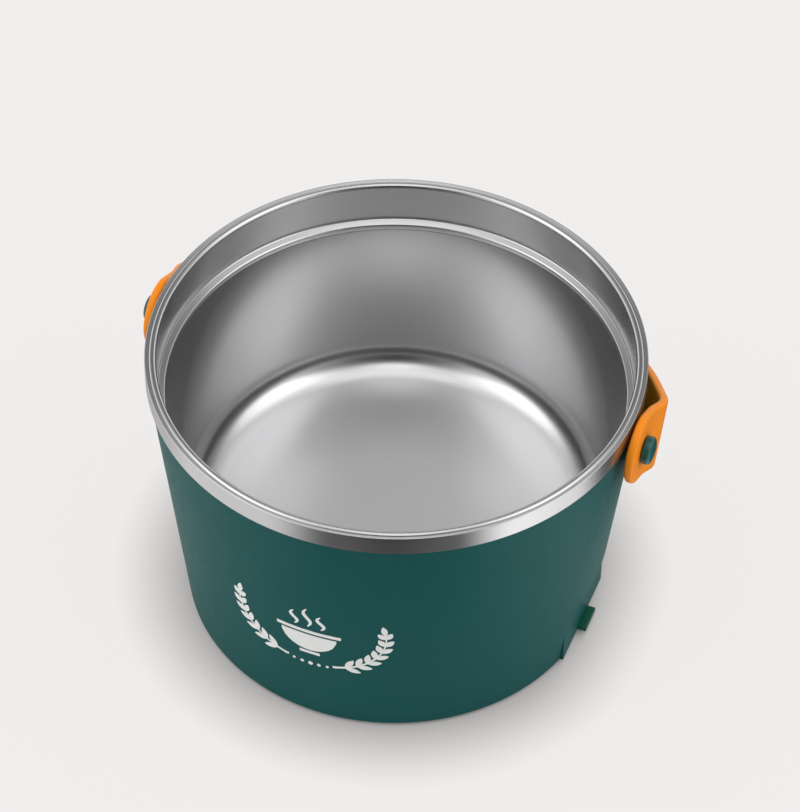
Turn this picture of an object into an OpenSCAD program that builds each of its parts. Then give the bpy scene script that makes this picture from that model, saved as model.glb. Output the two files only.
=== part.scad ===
// Electric lunch box: a tapered pot with a fixed steel bowl, a heater under the
// bowl, a power inlet behind a flap, and a carrying strap that swings over the rim.
// Millimetres, +Z up. The origin is the centre of the footprint on the table.
// +X points to the inlet and the right rivet, -Y to the front.

/* [Body] */
// Outer radius of the steel rim
rim_r = 81.2; // [78:0.1:90]
// Overall height, from the table to the top of the rim
body_h = 106; // [100:1:130]
// Outer radius of the shell at its bottom edge
base_r = 70.1; // [69:0.1:74]
// Height of the bottom edge of the shell above the table
foot_h = 1; // [0.6:0.1:3]
// Wall thickness of the plastic shell
shell_t = 1.9; // [1.5:0.1:2.2]
// Rounding of the bottom edge of the shell
edge_round = 1.2; // [0.4:0.1:1.6]

/* [Rim] */
// Width of the rim, from the seat wall of the bowl to its outer edge
rim_w = 3.8; // [3.4:0.1:4.4]
// Height of the steel band, below the crest of its rounded top edge
band_h = 6.8; // [4:0.1:10]
// Sheet thickness of the steel band
band_t = 0.75; // [0.4:0.05:0.8]
// Rounding of the top edge of the steel band
band_round = 0.9; // [0.8:0.05:1.1]
// How far the band stands out over the shell below it
band_proud = 0.8; // [0.3:0.05:1]
// Height of the crest of the lip above the crest of the band
lip_rise = 0.2; // [0:0.1:1.2]
// Thickness of the sealing ring under the band
seal_t = 0.4; // [0.3:0.05:1]

/* [Bowl] */
// Sheet thickness of the steel bowl
liner_t = 0.7; // [0.5:0.05:0.8]
// Height of the bowl's floor above the table
floor_z = 30; // [29:0.5:40]
// Space between the shell and the bowl, at the level of the bowl's floor
low_gap = 2.4; // [1.6:0.1:8]
// Radius of the round between floor and wall
cove_r = 10; // [5:0.5:16]
// Depth of the straight seat for a lid, below the middle of the lip
seat_h = 14; // [8:0.5:18]
// Space between the shell and the wall of the bowl, at the level of the ledge
high_gap = 1.65; // [1.4:0.05:2]
// How far the bead on the ledge stands into the bowl
bead_proud = 0.35; // [0.1:0.05:0.8]
// Radius of the round between ledge and seat
ledge_round = 0.5; // [0.3:0.05:0.8]

/* [Strap] */
// Width of the strap
strap_w = 23.5; // [16:0.5:28]
// Thickness of the strap
strap_t = 3; // [1.6:0.1:4]
// Rounding of the edges of the strap
strap_round = 1.1; // [0.3:0.05:1.2]
// Space between the rim and the inner face of the strap
strap_gap = 0.6; // [0.4:0.05:3]
// Height of the rivets below the top of the rim
rivet_drop = 13; // [12:0.5:20]
// Space left between the strap and the shell where the strap comes to rest
rest_gap = 0.55; // [0.4:0.05:3]
// Straight length of the strap beside the rivet
strap_run = 6; // [3:0.5:9]
// Angle at which the strap leans out behind the rivet
strap_flare = 10; // [0:0.5:12]
// Radius at which the strap starts to lean out
flare_r = 25; // [15:1:30]
// Straight length of the strap from there to the fold
flare_l = 6; // [4:0.5:7]
// Angle at which the strap is folded in, on its way round the pot
strap_tuck = 25; // [20:0.5:26]
// Middle radius of the fold
fold_r = 6; // [3:0.5:10]
// Straight length of the strap behind the fold
fold_l = 14; // [12:0.5:18]
// Radius of the long side of the arch
side_r = 135; // [122:1:160]
// Slope at which the side of the arch turns into its top
side_turn = 55; // [45:1:65]

/* [Rivets] */
// Radius of the rivet shank
rivet_r = 3; // [2:0.1:4]
// Running clearance of the strap on the shank
rivet_fit = 0.06; // [0.02:0.01:0.1]
// Radius of the domed rivet cap
cap_r = 4.7; // [4:0.1:7]
// Height of the domed rivet cap
cap_h = 3.4; // [1.5:0.1:4]
// Radius of the flat boss and the washer under the strap
boss_r = 5.2; // [4.4:0.1:5.4]
// Thickness of the washer
washer_t = 0.9; // [0.6:0.05:0.95]

/* [Inlet] */
// Width of the flat for the inlet flap
flap_w = 39; // [34:0.5:44]
// Height of the inlet flap
flap_h = 25.5; // [24:0.5:25.5]
// Thickness of the inlet flap
flap_t = 2; // [1.6:0.1:3]
// How far the flap's outer face lies inside the bottom edge of the shell
flap_inset = 1.5; // [0.6:0.1:2.1]
// Radius of the hinge pins of the flap
flap_pin_r = 0.7; // [0.5:0.05:0.8]
// Width of the pull tab
tab_w = 10; // [6:0.5:16]
// Length of the pull tab
tab_l = 3; // [2:0.1:6]
// Thickness of the pull tab
tab_t = 1.8; // [1.2:0.1:3]
// Height of the middle of the inlet above the table
inlet_z = 15.5; // [14:0.1:17]
// Spacing of the two inlet pins
pin_pitch = 8.6; // [7:0.1:10]
// Radius of the inlet pins
pin_r = 1.2; // [0.8:0.05:1.5]
// Radius of each lobe of the inlet recess
lobe_r = 3.9; // [3.2:0.1:4.2]
// Depth of the inlet recess
recess_d = 9; // [6:0.5:10]

/* [Heater] */
// Thickness of the heat spreader
plate_t = 2; // [1:0.1:3]
// Length of the heating element
heater_l = 36; // [24:1:44]
// Width of the heating element
heater_w = 24; // [16:1:26]
// Thickness of the heating element
heater_t = 5; // [3:0.5:6]
// Sheet thickness of the clamp and the heat shield
sheet_t = 0.8; // [0.5:0.1:1.2]
// Radius of the thermostat's cap
stat_r = 8; // [6:0.5:9]
// Height of the thermostat body
stat_h = 7; // [5:0.5:8]
// Radius of the thermal fuse in its sleeve
fuse_r = 2.2; // [1.5:0.1:3]
// Length of the thermal fuse in its sleeve
fuse_l = 22; // [16:1:28]
// Space between the heat shield and the leads at the inlet
shield_gap = 0.9; // [0.5:0.1:2]
// Radius of the insulated leads
lead_r = 0.9; // [0.6:0.1:1.2]
// Radius of the small screws on the heat spreader and the inlet
small_screw_r = 1.25; // [1:0.05:1.4]
// Length of the solder blades behind the inlet pins
blade_l = 4; // [3:0.5:5]

/* [Base] */
// Thickness of the base cover
base_t = 1.8; // [1.4:0.1:2.2]
// Radius of the circle that the base screws stand on
screw_ring_r = 57; // [55:0.5:58]
// Radius of the screw posts
post_r = 3.8; // [3.2:0.1:4.2]
// Radius of the base screws
screw_r = 1.5; // [1.2:0.1:1.6]
// Length of the base screws inside their posts
screw_bite = 7; // [5:0.5:9]
// Middle radius of the rubber ring that the pot stands on
foot_ring_r = 49; // [40:0.5:50]
// Width of the rubber ring
foot_w = 6; // [4:0.5:8]

/* [Fits] */
// Gap between pieces that are assembled with play
fit = 0.2; // [0.1:0.05:0.3]
// Gap that a moving piece keeps from what it passes
clear = 0.3; // [0.3:0.05:0.6]

/* [Hidden] */
$fn = 96;

GREEN = [0.14, 0.34, 0.32];
STEEL = [0.78, 0.78, 0.78];
ORANGE = [0.93, 0.55, 0.16];
BLACK = [0.12, 0.12, 0.13];

// Heights of the rim
band_top = body_h - lip_rise;
band_z = band_top - band_h;
collar_z = band_z - seal_t;
seat_r = rim_r - rim_w;
lip_r = (rim_w - band_round - fit) / 2;
lip_z = body_h - lip_r;
lip_curl = 20;

// Outer radius of the shell at a height, and the radius inside its wall
shell_top_r = rim_r - band_proud;
shell_lean = (shell_top_r - base_r) / (collar_z - foot_h);
function shell_r(z) = base_r + shell_lean * (z - foot_h);
function shell_in(z) = shell_r(z) - shell_t;
collar_in = seat_r + liner_t + fit;
collar_out = rim_r - band_t - fit;

// Ledge and wall of the bowl
ledge_z = lip_z - seat_h;
wall_r = shell_in(ledge_z) - liner_t - high_gap;
floor_r = shell_in(floor_z) - liner_t - low_gap;
bead_r = seat_r - wall_r + bead_proud - ledge_round;
bead_mid = [wall_r - bead_proud + bead_r, ledge_z - bead_r];
wall_top_z = bead_mid[1] - bead_r;
wall_lean = atan((wall_r - floor_r) / (wall_top_z - floor_z));
function bowl_r(z) = floor_r + tan(wall_lean) * (z - floor_z);
cove_mid = [bowl_r(floor_z + cove_r) - cove_r / cos(wall_lean), floor_z + cove_r];
bowl_under = floor_z - liner_t;

// Strap: its pivot and its faces at the rivet
pivot_z = body_h - rivet_drop;
strap_in = rim_r + strap_gap;
strap_out = strap_in + strap_t;
strap_mid = strap_in + strap_t / 2;
washer_out = strap_in - clear;
boss_x = washer_out - washer_t;
cap_dome = 0.65;

// Flat for the flap: its plane, its ceiling and the hinge of the flap
flat_t = shell_t;
flap_x = base_r - flap_inset;
flap_in = flap_x - flap_t;
flat_x = flap_in - clear;
flap_bottom = foot_h + 1;
hinge_x = flap_x - flap_t / 2;
hinge_z = flap_bottom + flap_h - flap_t / 2;
flat_top = hinge_z + flap_t / 2 + clear;
flat_w = flap_w + 2 * clear;
cheek_t = 2.2;
flap_pin_l = 1.5;
small_head_r = 1.9 * small_screw_r;
small_head_h = 1.3 * small_screw_r;
small_bite = 1.15 * small_screw_r;
nose_wall = 2;
back_wall = 6;
socket_w = pin_pitch + 2 * (lobe_r + nose_wall);
socket_h = 2 * (lobe_r + nose_wall);
socket_back = flat_x - recess_d - back_wall;
socket_screw_x = socket_w / 2 + small_head_r + clear;
flange_w = 2 * (socket_screw_x + small_head_r + 0.6);
flange_h = socket_h + 3;
flange_t = 2;
flange_x = flat_x - flat_t - fit - flange_t;

// Levels below the bowl
plate_z = bowl_under - plate_t;
heater_z = plate_z - heater_t;
stat_cap_h = 3;
stat_z = plate_z - stat_cap_h - stat_h;
stat_y = -(heater_w / 2 + stat_r + 6);
fuse_y = heater_w / 2 + fuse_r + 6;
shield_z = stat_z - 3;
pin_lead_x = socket_back - blade_l - lead_r - 0.1;
shield_r = pin_lead_x - lead_r - shield_gap;
stud_r = 2;
stud_ring_r = shield_r - stud_r - 1.5;
plate_r = stud_ring_r - stud_r - 2;
nut_t = 2.4;
clamp_w = 12;
clamp_screw_x = heater_l / 2 + 4.5;
lead_in_x = -heater_l / 2 - 5;
heat_tab_y = clamp_w / 2 + 2.5;

// Base
base_z = foot_h + 0.5;
base_top = base_z + base_t;
post_z = base_top + 2;
post_top = bowl_under - 3;
head_r = 2 * screw_r;
head_h = screw_r;
head_z = base_z + fit;
screw_top = post_z + screw_bite;
foot_sink = 0.8;

// Points along an arc, from one angle to another
function arc(mid, r, a, b, n = 10) =
    [for (i = [0:n]) mid + r * [cos(a + (b - a) * i / n), sin(a + (b - a) * i / n)]];
function backwards(p) = [for (i = [len(p) - 1:-1:0]) p[i]];

// One face of the bowl, a distance k into the sheet from the face that holds the food:
// floor, cove, wall, bead, ledge, seat and the lip that rolls over
function bowl_face(k) = concat(
    [[0, floor_z - k]],
    arc(cove_mid, cove_r + k, -90, -wall_lean, 12),
    arc(bead_mid, bead_r - k, 220, 90, 12),
    arc([seat_r - ledge_round, ledge_z + ledge_round], ledge_round + k, -90, 0, 8),
    arc([seat_r + lip_r, lip_z], lip_r - k, 180, -lip_curl, 16));

// One face of the steel band, a distance k into the sheet from its outside
function band_face(k) = concat(
    [[rim_r - k, band_z]],
    arc([rim_r - band_round, band_top - band_round], band_round - k, 0, 90, 8));

module ring_of(n, r, first = 0) {
    for (i = [0:n - 1]) rotate([0, 0, first + 360 * i / n]) translate([r, 0, 0]) children();
}

// Place on the inlet side, with the local Z axis pointing out of the pot
module at_inlet(x) {
    translate([x, 0, inlet_z]) rotate([0, 90, 0]) rotate([0, 0, 90]) children();
}

// Place on the right (side = 1) or left (side = -1) rivet axis, local Z pointing out
module at_rivet(side, x) {
    translate([side * x, 0, pivot_z]) rotate([0, side * 90, 0]) children();
}

// Insulated lead: straight stretches with round corners
module lead(p) {
    for (i = [0:len(p) - 2]) {
        d = p[i + 1] - p[i];
        l = norm(d);
        translate(p[i]) rotate([0, acos(d[2] / l), atan2(d[1], d[0])])
            cylinder(r = lead_r, h = l, $fn = 24);
        if (i > 0) translate(p[i]) sphere(r = lead_r, $fn = 24);
    }
}

module outer_shell() {
    color(GREEN) difference() {
        union() {
            shell_wall();
            intersection() {
                shell_solid();
                inlet_block();
            }
            screw_posts();
            for (side = [-1, 1]) at_rivet(side, shell_r(pivot_z) - 1)
                cylinder(r = boss_r, h = boss_x - shell_r(pivot_z) + 1);
        }
        inlet_flat();
        at_inlet(flat_x - flat_t - 1) nose_outline(flat_t + 2, fit);
        for (side = [-1, 1]) {
            at_rivet(side, collar_in - 1) cylinder(r = rivet_r + 0.03, h = boss_x - collar_in + 2);
            translate([hinge_x, side * (flap_w / 2 - 1), hinge_z]) rotate([side * -90, 0, 0])
                cylinder(r = flap_pin_r + 0.05, h = flap_pin_l + 1 + clear);
        }
        ring_of(4, screw_ring_r, 45) translate([0, 0, post_z - 1])
            cylinder(r = screw_r + 0.05, h = screw_top - post_z + 2, $fn = 32);
        at_inlet(flat_x - flat_t - 1) for (s = [-1, 1]) translate([s * socket_screw_x, 0, 0])
            cylinder(r = small_screw_r + 0.05, h = small_bite + 1.1, $fn = 32);
    }
}

// Outline of the shell, with its stepped collar inside the steel band
function shell_outline(inner) = concat(
    arc([base_r - edge_round, foot_h + edge_round], edge_round, -90, 0, 6),
    [[shell_top_r, collar_z], [collar_out, collar_z], [collar_out, lip_z - 0.7],
        [collar_in, lip_z - 0.7]],
    inner);

module shell_wall() {
    step_z = ledge_z - 1.5;
    rotate_extrude() polygon(shell_outline([[collar_in, step_z],
        [shell_in(step_z - 2), step_z - 2], [shell_in(foot_h), foot_h]]));
}

module shell_solid() {
    rotate_extrude() polygon(shell_outline([[0, lip_z - 0.7], [0, foot_h]]));
}

// Block of material behind and beside the flat
module inlet_block() {
    translate([flat_x - flat_t, -flat_w / 2 - cheek_t, 0])
        cube([base_r, flat_w + 2 * cheek_t, flat_top + 1.4]);
}

// Space in front of the flat, open to the outside and to below
module inlet_flat() {
    translate([flat_x, -flat_w / 2, -1]) cube([base_r, flat_w, flat_top + 1]);
}

module screw_posts() {
    ring_of(4, screw_ring_r, 45) translate([0, 0, post_z]) {
        cylinder(r = post_r, h = post_top - post_z, $fn = 48);
        translate([0, -1, 0]) cube([shell_in(post_z) + 0.5 - screw_ring_r, 2, post_top - post_z]);
    }
}

module inner_liner() {
    color(STEEL) {
        rotate_extrude() polygon(concat(bowl_face(0), backwards(bowl_face(liner_t))));
        ring_of(3, stud_ring_r, 60) translate([0, 0, shield_z - nut_t - 1])
            cylinder(r = stud_r, h = bowl_under - shield_z + nut_t + 1 + liner_t / 2, $fn = 32);
    }
}

module rim_band() {
    color(STEEL) rotate_extrude()
        polygon(concat(band_face(0), backwards(band_face(band_t))));
}

module rim_seal() {
    color([0.75, 0.8, 0.78]) translate([0, 0, collar_z]) difference() {
        cylinder(r = shell_top_r + 0.3, h = seal_t);
        translate([0, 0, -1]) cylinder(r = collar_out + 0.05, h = seal_t + 2);
    }
}

module insulation_sleeve() {
    low = cove_mid[1];
    high = wall_top_z - 1;
    skin = (liner_t + clear) / cos(wall_lean);
    color([0.85, 0.85, 0.8]) rotate_extrude() polygon([
        [bowl_r(low) + skin, low], [shell_in(low) - clear, low],
        [shell_in(high) - clear, high], [bowl_r(high) + skin, high]]);
}

module heat_plate() {
    color([0.7, 0.72, 0.74]) difference() {
        translate([0, 0, plate_z]) cylinder(r = plate_r, h = plate_t);
        for (p = plate_holes()) translate([p[0], p[1], plate_z - 1])
            cylinder(r = small_screw_r + 0.05, h = small_bite + 1.1, $fn = 32);
    }
}

// Screw positions on the heat spreader: clamp, thermostat bracket and fuse clip
function plate_holes() = [[clamp_screw_x, 0], [-clamp_screw_x, 0],
    [0, fuse_y + fuse_r + 4], [stat_r + 3.5, stat_y], [-stat_r - 3.5, stat_y]];

module ptc_heater() {
    color([0.3, 0.2, 0.16]) {
        translate([-heater_l / 2, -heater_w / 2, heater_z])
            cube([heater_l, heater_w, heater_t]);
        for (s = [-1, 1]) translate([lead_in_x, s * heat_tab_y - 1.5, heater_z + heater_t / 2 - 0.4])
            cube([6, 3, 0.8]);
    }
}

module heater_clamp() {
    wide = heater_l / 2 + sheet_t + fit;
    ear = wide + 7;
    low = heater_z - fit - sheet_t;
    top = plate_z;
    color([0.66, 0.66, 0.68]) difference() {
        translate([0, clamp_w / 2, 0]) rotate([90, 0, 0]) linear_extrude(clamp_w) polygon([
            [-ear, top], [-ear, top - sheet_t], [-wide, top - sheet_t], [-wide, low],
            [wide, low], [wide, top - sheet_t], [ear, top - sheet_t], [ear, top],
            [wide - sheet_t, top], [wide - sheet_t, low + sheet_t],
            [-wide + sheet_t, low + sheet_t], [-wide + sheet_t, top]]);
        for (s = [-1, 1]) translate([s * clamp_screw_x, 0, top - 2 * sheet_t])
            cylinder(r = small_screw_r + 0.1, h = 3 * sheet_t, $fn = 32);
    }
}

module clamp_screws() {
    color(STEEL) for (p = plate_holes()) translate([p[0], p[1], 0]) {
        translate([0, 0, plate_z - sheet_t - small_head_h])
            cylinder(r = small_head_r, h = small_head_h, $fn = 32);
        translate([0, 0, plate_z - sheet_t])
            cylinder(r = small_screw_r, h = sheet_t + small_bite, $fn = 32);
    }
}

module thermostat() {
    color([0.2, 0.2, 0.2]) translate([0, stat_y, 0]) {
        translate([0, 0, plate_z - stat_cap_h]) cylinder(r = stat_r, h = stat_cap_h);
        translate([0, 0, stat_z]) cylinder(r = stat_r - 1, h = stat_h);
        difference() {
            translate([-stat_r - 6.5, -3, plate_z - sheet_t]) cube([2 * stat_r + 13, 6, sheet_t]);
            for (s = [-1, 1]) translate([s * (stat_r + 3.5), 0, plate_z - 2 * sheet_t])
                cylinder(r = small_screw_r + 0.1, h = 3 * sheet_t, $fn = 32);
        }
        for (s = [-1, 1]) translate([s * 4 - 0.4, -1.5, stat_z - 2]) cube([0.8, 3, 3]);
    }
}

module thermal_fuse() {
    color([0.85, 0.82, 0.7]) translate([0, fuse_y, plate_z - fuse_r]) rotate([0, 90, 0]) {
        translate([0, 0, -fuse_l / 2]) cylinder(r = fuse_r, h = fuse_l, $fn = 48);
        translate([0, 0, -fuse_l / 2 - 2.5]) cylinder(r = 0.5, h = fuse_l + 5, $fn = 24);
    }
}

module fuse_clip() {
    r = fuse_r + 0.05;
    color([0.66, 0.66, 0.68]) translate([0, fuse_y, plate_z - fuse_r]) difference() {
        union() {
            rotate([0, 90, 0]) translate([0, 0, -3]) cylinder(r = r + sheet_t, h = 6, $fn = 48);
            translate([-3, -r - sheet_t, 0]) cube([6, 2 * (r + sheet_t), fuse_r]);
            translate([-3, 0, fuse_r - sheet_t]) cube([6, fuse_r + 7.5, sheet_t]);
        }
        rotate([0, 90, 0]) translate([0, 0, -4]) cylinder(r = r, h = 8, $fn = 48);
        translate([-4, -r, 0]) cube([8, 2 * r, fuse_r + 1]);
        translate([0, fuse_r + 4, fuse_r - 2 * sheet_t])
            cylinder(r = small_screw_r + 0.1, h = 3 * sheet_t, $fn = 32);
    }
}

module heat_shield() {
    color([0.72, 0.73, 0.75]) difference() {
        translate([0, 0, shield_z]) cylinder(r = shield_r, h = sheet_t);
        ring_of(3, stud_ring_r, 60) translate([0, 0, shield_z - 1])
            cylinder(r = stud_r + 0.1, h = sheet_t + 2, $fn = 32);
    }
}

module shield_nuts() {
    color(STEEL) ring_of(3, stud_ring_r, 60) difference() {
        translate([0, 0, shield_z - nut_t]) cylinder(r = 4, h = nut_t, $fn = 6);
        translate([0, 0, shield_z - nut_t - 1]) cylinder(r = stud_r + 0.05, h = nut_t + 2, $fn = 32);
    }
}

// Rounded outline of the nose of the inlet, grown by a gap
module nose_outline(h, gap) {
    w = socket_w / 2 + gap;
    t = socket_h / 2 + gap;
    round_r = 3 + gap;
    translate([-w, -t + round_r, 0]) cube([2 * w, 2 * (t - round_r), h]);
    translate([-w + round_r, -t, 0]) cube([2 * (w - round_r), 2 * t, h]);
    for (x = [-1, 1]) for (y = [-1, 1])
        translate([x * (w - round_r), y * (t - round_r), 0]) cylinder(r = round_r, h = h, $fn = 48);
}

module power_socket() {
    color(BLACK) difference() {
        union() {
            at_inlet(socket_back) nose_outline(flat_x - socket_back - fit, 0);
            at_inlet(flange_x) translate([-flange_w / 2, -flange_h / 2, 0])
                cube([flange_w, flange_h, flange_t]);
        }
        at_inlet(flat_x - recess_d) {
            for (s = [-1, 1]) translate([s * pin_pitch / 2, 0, 0]) cylinder(r = lobe_r, h = recess_d + 1);
            translate([-pin_pitch / 2, -lobe_r + 0.8, 0]) cube([pin_pitch, 2 * lobe_r - 1.6, recess_d + 1]);
        }
        at_inlet(socket_back - 1) for (s = [-1, 1]) translate([s * pin_pitch / 2, 0, 0])
            cylinder(r = pin_r + 0.05, h = back_wall + 2, $fn = 48);
        at_inlet(flange_x - 1) for (s = [-1, 1]) translate([s * socket_screw_x, 0, 0])
            cylinder(r = small_screw_r + 0.15, h = flange_t + 2, $fn = 32);
    }
}

module socket_pins() {
    color(STEEL) for (s = [-1, 1]) at_inlet(socket_back) translate([s * pin_pitch / 2, 0, 0]) {
        translate([0, 0, -1]) cylinder(r = pin_r, h = flat_x - socket_back - 1.5, $fn = 48);
        translate([-0.4, -pin_r - 0.8, -blade_l]) cube([0.8, 2 * pin_r + 1.6, blade_l - 0.1]);
    }
}

module socket_screws() {
    color(STEEL) for (s = [-1, 1]) at_inlet(flange_x) translate([s * socket_screw_x, 0, 0]) {
        translate([0, 0, -small_head_h]) cylinder(r = small_head_r, h = small_head_h, $fn = 32);
        cylinder(r = small_screw_r, h = flange_t + fit + small_bite, $fn = 32);
    }
}

module socket_cover() {
    barrel = flap_t / 2;
    color(GREEN) {
        translate([flap_in, -flap_w / 2, flap_bottom]) cube([flap_t, flap_w, flap_h - barrel]);
        translate([hinge_x, -flap_w / 2, hinge_z]) rotate([-90, 0, 0])
            cylinder(r = barrel, h = flap_w, $fn = 48);
        translate([hinge_x, -flap_w / 2 - flap_pin_l, hinge_z]) rotate([-90, 0, 0])
            cylinder(r = flap_pin_r, h = flap_w + 2 * flap_pin_l, $fn = 48);
        translate([flap_x - 0.5, -tab_w / 2, flap_bottom]) cube([tab_l + 0.5, tab_w, tab_t]);
    }
}

// Ends of the leads: inlet pins, thermostat, heating element and fuse
pin_end = [pin_lead_x, pin_pitch / 2, inlet_z];
stat_end = [4 + 0.4 + lead_r + 0.1, stat_y, stat_z - 1];
heat_end = [lead_in_x - lead_r - 0.1, heat_tab_y, heater_z + heater_t / 2];
fuse_end = [fuse_l / 2 + 2.5 + lead_r + 0.1, fuse_y, plate_z - fuse_r];

module live_lead() {
    color([0.75, 0.1, 0.1]) lead([[pin_end[0], -pin_end[1], pin_end[2] - 2],
        [pin_end[0], -pin_end[1], stat_end[2]], [pin_end[0], stat_y - 2, stat_end[2]],
        [stat_end[0], stat_y - 2, stat_end[2]], [stat_end[0], stat_y + 1, stat_end[2]]]);
}

module link_lead() {
    color([0.75, 0.1, 0.1]) lead([[-stat_end[0], stat_y + 1, stat_end[2]],
        [-stat_end[0], stat_y - 2, stat_end[2]], [heat_end[0], stat_y - 2, stat_end[2]],
        [heat_end[0], -heat_end[1] - 1, stat_end[2]], [heat_end[0], -heat_end[1], heat_end[2]]]);
}

module return_lead() {
    color([0.9, 0.9, 0.88]) lead([[heat_end[0], heat_end[1], heat_end[2]],
        [heat_end[0], fuse_y, fuse_end[2] - 2], [-fuse_end[0], fuse_y, fuse_end[2] - 2],
        [-fuse_end[0], fuse_y, fuse_end[2]]]);
}

module neutral_lead() {
    color([0.9, 0.9, 0.88]) lead([[fuse_end[0], fuse_y, fuse_end[2]],
        [fuse_end[0], fuse_y, stat_end[2]], [pin_end[0], fuse_y, stat_end[2]],
        [pin_end[0], pin_end[1], stat_end[2]], [pin_end[0], pin_end[1], pin_end[2] - 2]]);
}

module annulus(mid_r, wide, h) {
    difference() {
        cylinder(r = mid_r + wide / 2, h = h);
        translate([0, 0, -1]) cylinder(r = mid_r - wide / 2, h = h + 2);
    }
}

module base_cover() {
    color(GREEN) difference() {
        union() {
            translate([0, 0, base_z]) cylinder(r = shell_in(base_z) - fit, h = base_t);
            ring_of(4, screw_ring_r, 45) translate([0, 0, base_z])
                cylinder(r = post_r, h = post_z - base_z - 0.05, $fn = 48);
        }
        translate([flat_x - flat_t - fit, -base_r, 0]) cube([base_r, 2 * base_r, post_z]);
        translate([0, 0, base_z - 1]) annulus(foot_ring_r, foot_w + 0.1, foot_sink + 1);
        ring_of(4, screw_ring_r, 45) translate([0, 0, 0]) {
            cylinder(r = head_r + fit, h = head_z + head_h, $fn = 48);
            cylinder(r = screw_r + 0.1, h = post_z + 1, $fn = 32);
        }
    }
}

module base_screws() {
    color(STEEL) ring_of(4, screw_ring_r, 45) {
        translate([0, 0, head_z]) cylinder(r = head_r, h = head_h, $fn = 48);
        translate([0, 0, head_z]) cylinder(r = screw_r, h = screw_top - head_z, $fn = 32);
    }
}

module foot_ring() {
    color(BLACK) annulus(foot_ring_r, foot_w, base_z + foot_sink);
}

// The path of the strap is walked in [x, y, heading, half width], with the rivet axis along X
// and heading 0 along +Y, positive towards +X
function ahead(s, l) = [s[0] + l * sin(s[2]), s[1] + l * cos(s[2]), s[2], s[3]];
function turned(s, turn, r) = let (q = sign(turn) * r, h = s[2] + turn)
    [s[0] + q * (cos(s[2]) - cos(h)), s[1] + q * (sin(h) - sin(s[2])), h, s[3]];
function bend(s, turn, r, n) = [for (i = [1:n]) turned(s, turn * i / n, r)];
function last(p) = p[len(p) - 1];

// Stations of half the arch: round tab end, flare, fold, run round the pot, top
strap_r = strap_w / 2;
tab_end = [for (a = [80:-10:10]) [strap_mid, -strap_r * sin(a), 0, strap_r * cos(a)]];
at_rivets = [[strap_mid, 0, 0, strap_r], [strap_mid, strap_run, 0, strap_r]];
flare = bend(last(at_rivets), strap_flare, flare_r, 3);
past_flare = ahead(last(flare), flare_l);
fold = bend(past_flare, -strap_flare - strap_tuck, fold_r, 8);
at_side = ahead(last(fold), fold_l);
side = bend(at_side, strap_tuck - side_turn, side_r, 8);
top = bend(last(side), side_turn - 90, last(side)[0] / cos(side_turn), 9);
strap_half = concat(tab_end, at_rivets, flare, [past_flare], fold, [at_side], side, top);

// The other half is the mirror image, walked back from the top
strap_path = concat(strap_half,
    [for (i = [len(strap_half) - 2:-1:0]) let (s = strap_half[i]) [-s[0], s[1], 180 - s[2], s[3]]]);

// Cross-section of the strap at a station, its corners rounded as far as its thickness allows
strap_edge = min(strap_round, 0.45 * strap_t);
function strap_section(s) = let (t = strap_t / 2 - strap_edge, w = max(s[3] - strap_edge, 0.05))
    [for (c = [[1, 1, 0], [-1, 1, 90], [-1, -1, 180], [1, -1, 270]], a = [0:30:90])
        let (u = c[0] * t + strap_edge * cos(c[2] + a), v = c[1] * w + strap_edge * sin(c[2] + a))
        [s[0] + u * cos(s[2]), s[1] - u * sin(s[2]), v]];

// Gap between the shell and the strap hanging at a slope, and the slope at which it comes to rest
function hang_gap(slope) = min([for (s = strap_half, p = strap_section(s))
    let (y = p[1] * cos(slope) + p[2] * sin(slope), z = pivot_z - p[1] * sin(slope) + p[2] * cos(slope))
    z > collar_z ? strap_t : norm([p[0], y]) - shell_r(z)]);
function hang(low, high, steps) = steps == 0 ? low : let (mid = (low + high) / 2)
    hang_gap(mid) > rest_gap ? hang(mid, high, steps - 1) : hang(low, mid, steps - 1);
strap_rest = hang(5, 60, 16);

module sweep(sections) {
    n = len(sections[0]);
    m = len(sections);
    sides = [for (i = [0:m - 2], j = [0:n - 1], k = [0, 1]) let (a = i * n + j, b = i * n + (j + 1) % n)
        k == 0 ? [a, b, b + n] : [a, b + n, a + n]];
    polyhedron([for (q = sections) each q], concat(sides,
        [[for (j = [n - 1:-1:0]) j]], [[for (j = [0:n - 1]) (m - 1) * n + j]]));
}

module strap_handle() {
    color(ORANGE) translate([0, 0, pivot_z]) rotate([-strap_rest, 0, 0]) difference() {
        sweep([for (s = strap_path) strap_section(s)]);
        for (side = [-1, 1]) translate([side * strap_mid, 0, 0]) rotate([0, 90, 0])
            cylinder(r = rivet_r + rivet_fit, h = 2 * strap_t, center = true);
    }
}

module washer(side) {
    color(BLACK) at_rivet(side, boss_x) difference() {
        cylinder(r = boss_r, h = washer_t);
        translate([0, 0, -1]) cylinder(r = rivet_r + 0.05, h = washer_t + 2);
    }
}

module right_washer() {
    washer(1);
}

module left_washer() {
    washer(-1);
}

// Cap with a straight side and a domed top, on a shank that is pressed into the shell
module rivet(side) {
    dome_h = cap_dome * cap_h;
    crown_r = (cap_r * cap_r + dome_h * dome_h) / (2 * dome_h);
    shank_l = strap_out + clear - collar_in - 0.1;
    color(GREEN) {
        at_rivet(side, collar_in + 0.1) cylinder(r = rivet_r, h = shank_l + 0.5);
        at_rivet(side, strap_out + clear) intersection() {
            cylinder(r = cap_r, h = cap_h);
            translate([0, 0, cap_h - crown_r]) sphere(r = crown_r);
        }
    }
}

module right_rivet() {
    rivet(1);
}

module left_rivet() {
    rivet(-1);
}

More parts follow.
